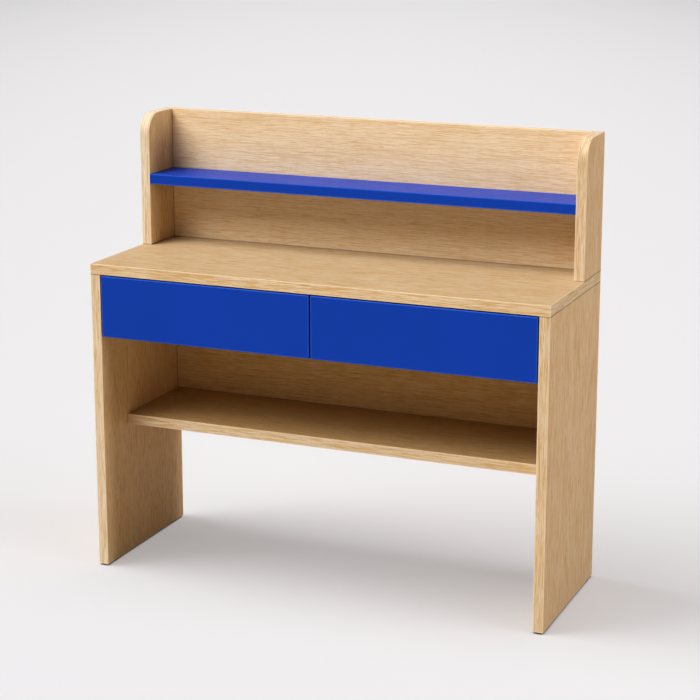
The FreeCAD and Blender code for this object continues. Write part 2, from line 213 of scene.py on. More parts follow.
# Scene linear colours: the world's light, low and overhead, and the painted shade of the floor
# close under a leg.
LOW_LIGHT = (1.0, 0.84, 0.66, 1.0)
HIGH_LIGHT = (1.0, 0.97, 0.93, 1.0)
CONTACT_SHADE = (0.02, 0.02, 0.02, 1.0)
# Between these heights in the world, 0 at the horizon and 1 overhead, its light changes.
DUSK = (0.1, 0.6)


# ---- Settings ----


def colour_setting(name, description, default):
    return FloatVectorProperty(
        name=name,
        description=description,
        subtype="COLOR_GAMMA",
        size=3,
        min=0.0,
        max=1.0,
        default=default,
    )


def length_setting(name, description, default):
    return FloatProperty(name=name, description=description, default=default, unit="LENGTH")


def angle_setting(name, description, default):
    return FloatProperty(
        name=name, description=description, default=math.radians(default), subtype="ANGLE"
    )


def level_setting(name, description, default):
    return FloatProperty(name=name, description=description, default=default, min=0.0)


class DeskFinishes(bpy.types.PropertyGroup):
    """Colours and textures of the boards."""

    oak_pale: colour_setting("Pale oak", "Early wood of the veneer", (0.908, 0.794, 0.642))
    oak_warm: colour_setting("Warm oak", "Late wood of the veneer", (0.868, 0.728, 0.547))
    oak_dark: colour_setting("Dark oak", "Streaks, lines, dashes and pores", (0.757, 0.536, 0.150))
    oak_light: colour_setting("Light oak", "Thin threads between the lines", (0.929, 0.838, 0.720))
    # Pale colour on the oak's free arrises: a painted highlight.
    oak_worn: colour_setting("Worn oak", "Arrises where the oil is rubbed off", (0.98, 0.89, 0.76))
    # Colour of the painted shade in thin lines where boards meet.
    oak_joint: colour_setting("Oak joint", "Thin lines where boards meet", (0.34, 0.22, 0.11))
    oak_gloss: level_setting("Oak gloss", "Specular level of the oil", 0.12)
    oak_figure: length_setting("Figure", "Width of the bands in the oak's figure", 0.16)
    oak_waver: length_setting("Waver", "How far the grain strays from a straight line", 0.015)
    blue: colour_setting("Blue", "Lacquer of the fronts and the hutch shelf", (0.025, 0.235, 0.690))
    # Lighter blue near the lacquered edges: a painted highlight.
    blue_highlight: colour_setting("Blue edge", "Lacquer where it thins on edges", (0.14, 0.38, 0.88))
    foil_pale: colour_setting("Pale foil", "Drawer boxes, light part", (0.875, 0.835, 0.765))
    foil_dark: colour_setting("Dark foil", "Drawer boxes, grain lines", (0.770, 0.710, 0.620))
    beech: colour_setting("Beech", "Dowels", (0.835, 0.690, 0.520))


class DeskFittings(bpy.types.PropertyGroup):
    """Small fittings on the boards and the slides."""

    screw_radius: length_setting("Screw radius", "Radius of a slide screw's head", 0.0031)
    screw_height: length_setting("Screw height", "Height of a slide screw's head", 0.0006)
    cap_radius: length_setting("Cap radius", "Radius of the caps over the cam locks", 0.0085)
    cap_height: length_setting("Cap height", "How far the caps stand proud", 0.0009)
    cap_inset: length_setting("Cap inset", "From the end of a board to a cap's centre", 0.034)
    segments: IntProperty(
        name="Segments", description="Sides of each turned fitting", default=40, min=12
    )


class DeskStage(bpy.types.PropertyGroup):
    """Floor, light and camera."""

    floor: colour_setting("Floor", "The floor and the background", (0.932, 0.925, 0.932))
    floor_lit: colour_setting("Lit floor", "The floor under the lamps", (0.945, 0.940, 0.948))
    bounce: colour_setting("Bounce", "Colour that the floor throws back", (0.74, 0.66, 0.55))
    shadow: level_setting("Shadow", "Depth of the shadow on the floor", 0.65)
    # Reach of the painted contact shade on the floor where the desk stands.
    contact: length_setting("Contact", "Reach of the dark line where the desk stands", 0.01)
    floor_size: length_setting("Floor size", "Side of the square floor", 120.0)
    # The floor's painted pool of light: how far and how wide it reaches, and the tone beyond it,
    # which also tones the plain backdrop.
    pool_depth: length_setting("Pool depth", "Reach of the pale pool on the floor", 30.0)
    pool_width: length_setting("Pool width", "Half the width of the pale pool on the floor", 6.0)
    dimmed: level_setting("Dimmed", "Tone of the floor and the backdrop far away", 0.74)
    zenith: level_setting("Zenith", "Strength of the world overhead", 0.20)
    horizon: level_setting("Horizon", "Strength of the low world", 0.06)
    main: level_setting("Main", "Strength of the light at the left", 3.35)
    side: level_setting("Side", "Strength of the high light at the left", 0.90)
    rim: level_setting("Rim", "Strength of the low light at the right", 1.20)
    back: level_setting("Back", "Strength of the light behind", 0.80)
    floor_light: level_setting("Floor light", "Strength of the lamps on the floor", 1.80)
    azimuth: angle_setting("Azimuth", "Camera's turn to the right of the desk's front", 22.84)
    elevation: angle_setting("Elevation", "Camera's height as an angle", 13.071)
    distance: length_setting("Distance", "From the camera to its target", 4.6496)
    target: FloatVectorProperty(
        name="Target",
        description="Point on the camera's axis",
        subtype="XYZ",
        unit="LENGTH",
        default=(0.0, 0.0403, 0.6734),
    )
    lens: level_setting("Lens", "Focal length in millimetres", 99.25)
    shift: FloatProperty(name="Shift", description="Vertical shift of the lens", default=-0.07)


# ---- Shader maths ----


def linear(colour):
    """A colour as written, in scene linear values with alpha."""
    values = [c / 12.92 if c <= 0.04045 else ((c + 0.055) / 1.055) ** 2.4 for c in colour]
    return (*values, 1.0)


def toned(colour, tone):
    """A scene linear colour made darker or lighter."""
    return (*(value * tone for value in colour[:3]), 1.0)


class Signal:
    """The output of a shader node. Arithmetic on it adds Math or Vector Math nodes."""

    def __init__(self, nodes, socket):
        self.nodes = nodes
        self.socket = socket

    def with_maths(self, operation, first, second=None):
        terms = {0: first} if second is None else {0: first, 1: second}
        vector = any(
            isinstance(term, Signal) and term.socket.type in ("VECTOR", "RGBA")
            for term in terms.values()
        )
        kind = "ShaderNodeVectorMath" if vector else "ShaderNodeMath"
        return self.nodes.node(kind, {"operation": operation}, terms)

    def __add__(self, other):
        return self.with_maths("ADD", self, other)

    def __radd__(self, other):
        return self.with_maths("ADD", other, self)

    def __sub__(self, other):
        return self.with_maths("SUBTRACT", self, other)

    def __rsub__(self, other):
        return self.with_maths("SUBTRACT", other, self)

    def __mul__(self, other):
        return self.with_maths("MULTIPLY", self, other)

    def __rmul__(self, other):
        return self.with_maths("MULTIPLY", other, self)

    def __truediv__(self, other):
        return self.with_maths("DIVIDE", self, other)

    def __rtruediv__(self, other):
        return self.with_maths("DIVIDE", other, self)

    def __abs__(self):
        return self.with_maths("ABSOLUTE", self)

    def __gt__(self, other):
        return self.with_maths("GREATER_THAN", self, other)

    def __lt__(self, other):
        return self.with_maths("LESS_THAN", self, other)


class Nodes:
    """Makes the nodes of one material or of the world."""

    def __init__(self, tree):
        self.tree = tree

    def feed(self, socket, value):
        if isinstance(value, Signal):
            self.tree.links.new(value.socket, socket)
        elif socket.type == "VECTOR" and isinstance(value, (int, float)):
            socket.default_value = (value, value, value)
        else:
            socket.default_value = value

    def node(self, kind, settings=None, sockets=None, output=0):
        """Adds a node: first its settings, then the values or links of its sockets."""
        made = self.tree.nodes.new(kind)
        for name, value in (settings or {}).items():
            setattr(made, name, value)
        for socket, value in (sockets or {}).items():
            self.feed(made.inputs[socket], value)
        return Signal(self, made.outputs[output])

    def split(self, vector):
        parts = self.node("ShaderNodeSeparateXYZ", sockets={0: vector}).socket.node
        return [Signal(self, socket) for socket in parts.outputs]

    def join(self, x, y, z):
        return self.node("ShaderNodeCombineXYZ", sockets={0: x, 1: y, 2: z})

    def place(self):
        return self.node("ShaderNodeTexCoord", output="Object")

    def facing(self):
        return self.node("ShaderNodeTexCoord", output="Normal")

    def noise(self, place, scale=1.0, detail=2.0, roughness=0.5):
        sockets = {"Vector": place, "Scale": scale, "Detail": detail, "Roughness": roughness}
        return self.node("ShaderNodeTexNoise", sockets=sockets)

    def ease(self, value, low, high):
        """0 below low and 1 above high, with a smooth step between."""
        sockets = {"Value": value, "From Min": low, "From Max": high}
        return self.node("ShaderNodeMapRange", {"interpolation_type": "SMOOTHSTEP"}, sockets)

    def edge_line(self, distance, line):
        """How much such a line covers at that distance from its edge."""
        return (1.0 - self.ease(distance, line.full, line.gone)) * line.share

    def choose(self, mask, other, chosen):
        """The value chosen where mask is 1, and other where it is 0."""
        settings = {"data_type": "FLOAT"}
        return self.node("ShaderNodeMix", settings, {0: mask, 2: other, 3: chosen})

    def blend(self, mask, other, chosen):
        """The colour chosen where mask is 1, and other where it is 0."""
        settings = {"data_type": "RGBA"}
        return self.node("ShaderNodeMix", settings, {0: mask, 6: other, 7: chosen}, 2)

    def two_tone(self, mask, main, shade):
        """The colour shade where mask is 1, and main where it is 0, both as written."""
        return self.blend(mask, linear(main), linear(shade))

    def mix_shaders(self, mask, other, chosen):
        return self.node("ShaderNodeMixShader", None, {0: mask, 1: other, 2: chosen})

    def seen(self):
        """1 for what the lens sees, directly, mirrored or through glass, and 0 for other light."""
        rays = self.node("ShaderNodeLightPath").socket.node.outputs
        camera, glossy, through = (
            Signal(self, rays[f"Is {kind} Ray"]) for kind in ("Camera", "Glossy", "Transmission")
        )
        return camera + glossy + through


class Finish(Nodes):
    """A material under construction: its nodes, and the surface that they feed."""

    def __init__(self, name, **surface):
        self.material = bpy.data.materials.new(name)
        self.material.use_nodes = True
        super().__init__(self.material.node_tree)
        self.surface = self.tree.nodes["Principled BSDF"]
        self.set(**surface)

    def bump(self, height, distance, strength=1.0):
        sockets = {"Height": height, "Distance": distance, "Strength": strength}
        self.set(normal=self.node("ShaderNodeBump", sockets=sockets))

    def set(self, **surface):
        """Feeds the surface's sockets, named as in base_color for Base Color."""
        sockets = {socket.name.lower().replace(" ", "_"): socket for socket in self.surface.inputs}
        for name, value in surface.items():
            self.feed(sockets[name], value)


def smaller(first, second):
    return first.with_maths("MINIMUM", first, second)


def larger(first, second):
    return first.with_maths("MAXIMUM", first, second)


def paint(node, finish):
    """Gives a board or fitting of the frame its finish."""
    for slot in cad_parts[node].material_slots:
        slot.material = finish.material


# ---- Finishes of the boards ----


class Grain:
    """Places along and across the grain of a board. Start is how deep in its log it is cut.

    The faces are veneered. The narrow edges carry strips with a longer grain, which runs along
    their length and round the corners.
    """

    def __init__(self, finish, grain, face, start, waver=0.0):
        self.finish = finish
        edge = 3 - grain - face
        self.place = finish.split(finish.place())
        facing = finish.split(finish.facing())
        self.on_strip = abs(facing[face]) < SQUARE_ON
        self.on_side = abs(facing[X]) > SQUARE_ON
        round_edge = (self.place[grain] + self.place[edge]) * STRIP_PACE
        self.along = finish.choose(self.on_strip, self.place[grain], round_edge)
        across = finish.choose(self.on_strip, self.place[edge], 0.0)
        self.depth = self.place[face] + self.on_strip * STRIP_STEP + start
        if waver:
            waves = (self.along / WAVE_LENGTH, across / WAVE_WIDTH, self.depth / WAVE_WIDTH)
            stray = finish.noise(finish.join(*waves), detail=4.0, roughness=0.62) - 0.5
            across = across + stray * waver
        self.across = across

    def noise(self, length, width, detail=2.0, roughness=0.5):
        """Noise in streaks of that length along the grain and that width across it."""
        place = self.finish.join(self.along / length, self.across / width, self.depth / width)
        return self.finish.noise(place, detail=detail, roughness=roughness)

    def marks(self, marks, roughness=0.5):
        """1 on such marks, and 0 beside them."""
        noise = self.noise(marks.length, marks.width, marks.detail, roughness)
        return self.finish.ease(noise, marks.start, marks.full)

    def to_arris(self, node, joined=()):
        """The distance to the nearest arris, or None for a board with no arris to see.

        It is the middle one of the distances to the three pairs of faces, without joined faces.
        """
        distances = []
        for axis, (low, high) in enumerate(zip(*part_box(node))):
            free = [self.place[axis] - low] if (axis, -1) not in joined else []
            free += [high - self.place[axis]] if (axis, 1) not in joined else []
            if free:
                distances.append(smaller(*free) if len(free) == 2 else free[0])
        if len(distances) < 2:
            return None
        first, second = distances[:2]
        if len(distances) == 2:
            return larger(first, second)
        return larger(smaller(first, second), smaller(larger(first, second), distances[2]))

    def to_joint(self, node, joined):
        """The distance to the nearest joined face, or None for a board that stands free."""
        nearest = None
        for axis, side in joined:
            low, high = (corner[axis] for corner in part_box(node))
            distance = high - self.place[axis] if side > 0 else self.place[axis] - low
            nearest = smaller(nearest, distance) if nearest else distance
        return nearest


def oak(node, board, start, settings):
    """Oak veneer in a satin oil, from its slow figure to its pores and its pale threads.

    Thin dark lines at the corners and seams where boards meet are painted shade, the free
    arrises carry a painted highlight, and each board's tint is partly painted light and shade.
    """
    finish = Finish("oak_" + node, specular_ior_level=settings.oak_gloss)
    wood = Grain(finish, board.grain, board.face, start, settings.oak_waver)
    pale, warm, dark, light, worn, joint_shade_tone = (
        linear(getattr(settings, "oak_" + tone))
        for tone in ("pale", "warm", "dark", "light", "worn", "joint")
    )
    slow = wood.marks(Marks(0.60, settings.oak_figure * 0.4, 2.0, 0.35, 0.65))
    fibres = wood.marks(FIBRES)
    streaks = wood.marks(STREAKS) * (0.5 + 0.8 * fibres)
    dashes = wood.marks(DASHES) * (0.4 + 0.8 * fibres)
    lines = wood.marks(LINES)
    threads = wood.marks(THREADS) * (1.2 - 0.7 * fibres)
    pores = wood.marks(PORES)
    arcs = wood.noise(length=0.55, width=settings.oak_figure, detail=1.0) * ARC_PHASE
    arcs = finish.node("ShaderNodeMath", {"operation": "SINE"}, {0: arcs})
    arcs = finish.ease(arcs, 0.2, 1.0)

    # How much of each tone the marks lay over the pale wood, in this order.
    strength = board.figure * (1.0 + wood.on_strip * 0.10)
    coats = (
        (slow * 0.40, warm),
        (streaks * strength * 0.16, dark),
        (dashes * strength * 0.66, dark),
        (lines * strength * 0.58, dark),
        (arcs * strength * 0.10, dark),
        (pores * (0.15 + dashes * 0.35), dark),
        (threads * strength * 0.62, light),
    )
    colour = pale
    for cover, tone in coats:
        colour = finish.blend(cover, colour, tone)
    # The board's tint: painted light and shade on its veneer, and on its edge strips their own
    # paler tone with painted light.
    tone_and_painted_light = finish.blend(wood.on_strip, (*board.veneer, 1.0), (*board.strip, 1.0))
    colour = colour * tone_and_painted_light

    # Painted shade along the corners where the board meets others.
    joint = wood.to_joint(node, board.joined)
    if joint:
        colour = finish.blend(finish.edge_line(joint, JOINT_SHADE), colour, joint_shade_tone)
    # Painted highlight along the board's free arrises.
    arris = wood.to_arris(node, board.joined)
    if arris:
        colour = finish.blend(finish.edge_line(arris, ARRIS_HIGHLIGHT), colour, worn)
    # Painted shade in the seams on the desk's outer sides.
    seam = smaller(*(abs(wood.place[Z] - level) for level in SEAMS))
    seam = finish.edge_line(seam, SEAM_SHADE) * wood.on_side
    colour = finish.blend(seam, colour, joint_shade_tone)

    finish.set(base_color=colour, roughness=0.46 + streaks * 0.10 + dashes * 0.10)
    finish.bump((threads - streaks - dashes - pores) * 0.4, distance=0.00025, strength=0.3)
    return finish


def blue_lacquer(node, settings, joined=()):
    """Satin lacquer on a smooth board: a faint orange peel, and a painted highlight on the broad
    faces along their edges.
    """
    finish = Finish("blue_lacquer_" + node, specular_ior_level=0.12)
    sheen = Grain(finish, X, Y, start=0.0)
    place = finish.place()
    peel = finish.noise(place, scale=620.0, detail=2.0)
    cloud = finish.noise(place, scale=7.0, detail=3.0)
    smear = finish.noise(place, scale=26.0, detail=4.0, roughness=0.6)
    # Painted highlight on the broad faces near their arrises.
    thin = finish.edge_line(sheen.to_arris(node, joined), LACQUER_HIGHLIGHT) * (1.0 - sheen.on_strip)
    blue = finish.two_tone(cloud, settings.blue, [value * 0.93 for value in settings.blue])
    colour = finish.blend(thin, blue, linear(settings.blue_highlight))
    finish.set(base_color=colour, roughness=0.33 + smear * 0.14)
    finish.bump(peel, distance=0.00006, strength=0.6)
    return finish


def drawer_foil(node, grain, face, start, settings):
    """Printed foil on the drawer boards: thin pale grain lines under a fine emboss."""
    finish = Finish("foil_" + node)
    wood = Grain(finish, grain, face, start, waver=0.004)
    lines = wood.marks(FOIL_LINES, 0.6)
    emboss = wood.noise(length=0.012, width=0.0008)
    cover = lines * 0.55 + wood.noise(length=0.8, width=0.05) * 0.2
    colour = finish.two_tone(cover, settings.foil_pale, settings.foil_dark)
    finish.set(base_color=colour, roughness=0.46 + emboss * 0.14)
    finish.bump(emboss, distance=0.00008, strength=0.6)
    return finish


def hardboard(node):
    """The drawer bottoms: thin pale board with fibres that show through the coat."""
    finish = Finish("hardboard_" + node)
    place = finish.place()
    fibres = finish.ease(finish.noise(place, scale=420.0, detail=4.0, roughness=0.7), 0.5, 0.7)
    patches = finish.noise(place, scale=18.0, detail=3.0)
    colour = finish.two_tone(fibres * 0.4 + patches * 0.25, *HARDBOARD)
    finish.set(base_color=colour, roughness=0.52 + fibres * 0.14)
    finish.bump(fibres, distance=0.00006, strength=0.5)
    return finish


def beech(settings):
    """Turned beech dowels with short dark rays."""
    finish = Finish("beech")
    wood = Grain(finish, Z, X, start=0.0, waver=0.001)
    rays = wood.marks(BEECH_RAYS)
    fibre = wood.noise(length=0.02, width=0.0006, detail=3.0)
    colour = finish.two_tone(fibre * 0.4, settings.beech, BEECH_SHADE)
    colour = finish.blend(rays * 0.4, colour, linear(BEECH_RAY))
    finish.set(base_color=colour, roughness=0.62 + rays * 0.1)
    finish.bump(fibre, distance=0.00008, strength=0.5)
    return finish


# ---- Finishes of the slides and fittings ----


def powder_coat():
    """White powder coat on the slides, with grey rub marks where the wheels run."""
    finish = Finish("powder_coat")
    place = finish.place()
    peel = finish.noise(place, scale=900.0, detail=2.0)
    x, y, z = finish.split(place)
    rub = finish.noise(finish.join(x * 300.0, y * 14.0, z * 300.0), detail=3.0)
    rub = finish.ease(rub, 0.55, 0.75)
    finish.set(base_color=finish.two_tone(rub * 0.30, *POWDER_COAT), roughness=0.36 + rub * 0.2)
    finish.bump(peel, distance=0.00010, strength=0.6)
    return finish


def nylon():
    """Natural nylon wheels, a little mottled."""
    finish = Finish("nylon", subsurface_weight=0.15, subsurface_scale=0.002)
    mottle = finish.noise(finish.place(), scale=260.0, detail=3.0)
    finish.set(base_color=finish.two_tone(mottle, *NYLON), roughness=0.34 + mottle * 0.16)
    finish.bump(mottle, distance=0.00005, strength=0.5)
    return finish


@cache
def zinc():
    """Bright zinc plate with small spangles and fine scratches, made once for all fasteners."""
    finish = Finish("zinc", metallic=1.0)
    place = finish.place()
    x, y, z = finish.split(place)
    scratch = finish.noise(finish.join(x * 2600.0, y * 260.0, z * 2600.0), detail=2.0)
    cloud = finish.noise(place, scale=340.0, detail=3.0)
    roughness = 0.26 + cloud * 0.12 + scratch * 0.1
    finish.set(base_color=finish.two_tone(cloud, *ZINC), roughness=roughness)
    finish.bump(scratch, distance=0.00003, strength=0.5)
    return finish


def moulded_plastic(name, tones, roughness):
    """Moulded plastic with a fine spark texture."""
    finish = Finish(name)
    place = finish.place()
    grain = finish.noise(place, scale=1500.0, detail=3.0)
    cloud = finish.noise(place, scale=60.0, detail=2.0)
    finish.set(base_color=finish.two_tone(cloud, *tones), roughness=roughness + grain * 0.12)
    finish.bump(grain, distance=0.00006, strength=0.6)
    return finish


# ---- Building the small fittings ----


def tilt_to(outward):
    """The rotation that takes the upward direction outward."""
    return Vector((0, 0, 1)).rotation_difference(Vector(outward)).to_matrix()


def add_point(mesh, centre, tilt, point):
    """Adds a point given from the fitting's centre, before its tilt."""
    return mesh.verts.new(Vector(centre) + tilt @ Vector(point))


def join_rings(mesh, first, second):
    """Faces between two rings of as many points."""
    for step in range(len(first)):
        after = (step + 1) % len(first)
        mesh.faces.new((first[step], first[after], second[after], second[step]))


def edges_round(mesh, ring):
    """The edges between neighbours in a ring of points."""
    return [mesh.edges.get(pair) for pair in zip(ring, ring[1:] + ring[:1])]


def turn(mesh, outline, centre, outward, segments):
    """Turns an outline of (height, radius) points about an axis, and returns its last ring."""
    tilt = tilt_to(outward)
    rings = []
    for height, radius in outline:
        ring = []
        for step in range(segments):
            angle = math.tau * step / segments
            point = (radius * math.cos(angle), radius * math.sin(angle), height)
            ring.append(add_point(mesh, centre, tilt, point))
        rings.append(ring)
    for lower, upper in zip(rings, rings[1:]):
        join_rings(mesh, lower, upper)
    return rings[-1]


def screw_head(mesh, centre, outward, radius, height, segments):
    """A low oval head with a cross recess that narrows towards its floor."""
    outline = [
        (0.0, radius),
        (height * 0.35, radius),
        (height * 0.75, radius * 0.86),
        (height, radius * 0.66),
    ]
    rim = turn(mesh, outline, centre, outward, segments)
    reach, half = radius * 0.52, radius * 0.13
    arm = [(reach, -half), (reach, half), (half, half)]
    cross = [
        Matrix.Rotation(math.pi / 2 * quarter, 2) @ Vector(point)
        for quarter in range(4)
        for point in arm
    ]
    tilt = tilt_to(outward)
    mouth, recess_floor = (
        [add_point(mesh, centre, tilt, (x * scale, y * scale, level)) for x, y in cross]
        for level, scale in ((height, 1.0), (height * 0.15, 0.7))
    )
    join_rings(mesh, mouth, recess_floor)
    mesh.faces.new(recess_floor)
    edges = edges_round(mesh, rim) + edges_round(mesh, mouth)
    bmesh.ops.triangle_fill(mesh, use_beauty=True, edges=edges)


def cam_cap(mesh, centre, outward, radius, height, segments):
    """A round cover with an eased rim and a shallow dish."""
    outline = [
        (0.0, radius),
        (height * 0.6, radius),
        (height * 0.9, radius * 0.97),
        (height, radius * 0.93),
        (height * 0.92, radius * 0.84),
        (height * 0.82, radius * 0.60),
    ]
    mesh.faces.new(turn(mesh, outline, centre, outward, segments))


def add_fittings(name, make, places, body, finish, sizes):
    """One piece made of several like fittings; places are (centre, outward) pairs."""
    mesh = bmesh.new()
    for centre, outward in places:
        make(mesh, centre, outward, *sizes)
    bmesh.ops.recalc_face_normals(mesh, faces=mesh.faces)
    data = bpy.data.meshes.new(name)
    mesh.to_mesh(data)
    mesh.free()
    data.shade_smooth()
    data.set_sharp_from_angle(angle=SHARP_ANGLE)
    data.materials.append(finish.material)
    piece = bpy.data.objects.new(name, data)
    bpy.context.collection.objects.link(piece)
    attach(piece, body)


def outer_x(node, side):
    """Where a board's or a sheet's face lies on the side that it is named for."""
    low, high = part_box(node)
    return high[X] if SIDES[side] > 0 else low[X]


# ---- Operators ----


class DESK_OT_oak(bpy.types.Operator):
    """Veneers the legs, the desktop, the lower shelf, the back panels and the hutch sides"""

    bl_idname = "desk.oak"
    bl_label = "Oak Boards"

    def execute(self, context):
        settings = context.scene.desk_finishes
        for number, (node, board) in enumerate(OAK_BOARDS.items()):
            paint(node, oak(node, board, LOG_STEP * number, settings))
        return {"FINISHED"}


class DESK_OT_blue(bpy.types.Operator):
    """Lacquers the drawer fronts and the hutch shelf"""

    bl_idname = "desk.blue"
    bl_label = "Blue Fronts and Shelf"

    def execute(self, context):
        settings = context.scene.desk_finishes
        for drawer in DRAWERS:
            paint(drawer + "_front", blue_lacquer(drawer + "_front", settings))
        paint("hutch_shelf", blue_lacquer("hutch_shelf", settings, ENDS))
        return {"FINISHED"}


class DESK_OT_drawer_boxes(bpy.types.Operator):
    """Finishes the drawer boxes and the divider between the drawers"""

    bl_idname = "desk.drawer_boxes"
    bl_label = "Drawer Boxes"

    def execute(self, context):
        settings = context.scene.desk_finishes
        paint("drawer_divider", drawer_foil("drawer_divider", Y, X, DIVIDER_FOIL, settings))
        for number, drawer in enumerate(DRAWERS):
            for side in SIDES:
                node = f"{drawer}_{side}_side"
                paint(node, drawer_foil(node, Y, X, SIDE_FOIL + number, settings))
            node = drawer + "_back"
            paint(node, drawer_foil(node, X, Y, BACK_FOIL + number, settings))
            paint(drawer + "_bottom", hardboard(drawer + "_bottom"))
        return {"FINISHED"}


class DESK_OT_slides(bpy.types.Operator):
    """Finishes the runners, the rails and their wheels"""

    bl_idname = "desk.slides"
    bl_label = "Slides"

    def execute(self, context):
        coat = powder_coat()
        wheels = nylon()
        for drawer in DRAWERS:
            for side in SIDES:
                paint(f"{drawer}_{side}_runner", coat)
                paint(f"{drawer}_{side}_rail", coat)
            paint(drawer + "_front_wheels", wheels)
            paint(drawer + "_rear_wheels", wheels)
        return {"FINISHED"}


class DESK_OT_fasteners(bpy.types.Operator):
    """Finishes the cam locks, their bolts, the dowels and the glides"""

    bl_idname = "desk.fasteners"
    bl_label = "Fasteners and Glides"

    def execute(self, context):
        paint("cam_locks", zinc())
        paint("cam_bolts", zinc())
        paint("wooden_dowels", beech(context.scene.desk_finishes))
        paint("foot_glides", moulded_plastic("glide_plastic", GLIDE_PLASTIC, 0.5))
        return {"FINISHED"}


class DESK_OT_slide_screws(bpy.types.Operator):
    """Adds the screws that hold the runners to the walls and the rails to the drawers"""

    bl_idname = "desk.slide_screws"
    bl_label = "Slide Screws"

    def execute(self, context):
        fittings = context.scene.desk_fittings
        sizes = (fittings.screw_radius, fittings.screw_height, fittings.segments)
        for drawer in DRAWERS:
            for side, outward in SIDES.items():
                runner = f"{drawer}_{side}_runner"
                rail = f"{drawer}_{side}_rail"
                # The runner's sheet lies on the wall, and the rail's on the drawer's side.
                wall = outer_x(runner, side)
                board = outer_x(f"{drawer}_{side}_side", side)
                rows = (
                    (runner, "desk", RUNNER_SCREWS, wall - outward * SHEET, -outward),
                    (rail, drawer, RAIL_SCREWS, board + outward * SHEET, outward),
                )
                for node, body, screws, x, facing in rows:
                    low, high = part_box(node)
                    z = low[Z] + screws.rise
                    places = [
                        ((x, low[Y] + share * (high[Y] - low[Y]), z), (facing, 0, 0))
                        for share in screws.shares
                    ]
                    name = node + "_screws"
                    add_fittings(name, screw_head, places, body, zinc(), sizes)
        return {"FINISHED"}


class DESK_OT_box_screws(bpy.types.Operator):
    """Adds the screws through the drawer sides into the drawer backs"""

    bl_idname = "desk.box_screws"
    bl_label = "Box Screws"

    def execute(self, context):
        fittings = context.scene.desk_fittings
        sizes = (fittings.screw_radius, fittings.screw_height, fittings.segments)
        for drawer in DRAWERS:
            back_low, back_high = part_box(drawer + "_back")
            y = (back_low[Y] + back_high[Y]) / 2
            places = []
            for side, outward in SIDES.items():
                node = f"{drawer}_{side}_side"
                low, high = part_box(node)
                for share in BOX_SCREW_SHARES:
                    z = low[Z] + share * (high[Z] - low[Z])
                    places.append(((outer_x(node, side), y, z), (outward, 0, 0)))
            name = drawer + "_box_screws"
            add_fittings(name, screw_head, places, drawer, zinc(), sizes)
        return {"FINISHED"}


class DESK_OT_cam_caps(bpy.types.Operator):
    """Adds the caps over the cam locks under the two shelves"""

    bl_idname = "desk.cam_caps"
    bl_label = "Cam Caps"

    def execute(self, context):
        fittings = context.scene.desk_fittings
        sizes = (fittings.cap_radius, fittings.cap_height, fittings.segments)
        for node, caps in SHELF_CAPS.items():
            low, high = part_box(node)
            places = []
            for x in (low[X] + fittings.cap_inset, high[X] - fittings.cap_inset):
                for y in (low[Y] + caps.inset, high[Y] - caps.inset):
                    places.append(((x, y, low[Z]), (0, 0, -1)))
            plastic = moulded_plastic(node + "_caps", caps.tones, 0.42)
            add_fittings(node + "_caps", cam_cap, places, "desk", plastic, sizes)
        return {"FINISHED"}


def towards_angle(azimuth, elevation):
    """The direction at that angle to the right of the desk's front and above the floor."""
    level = math.cos(elevation)
    return Vector((math.sin(azimuth) * level, -math.cos(azimuth) * level, math.sin(elevation)))


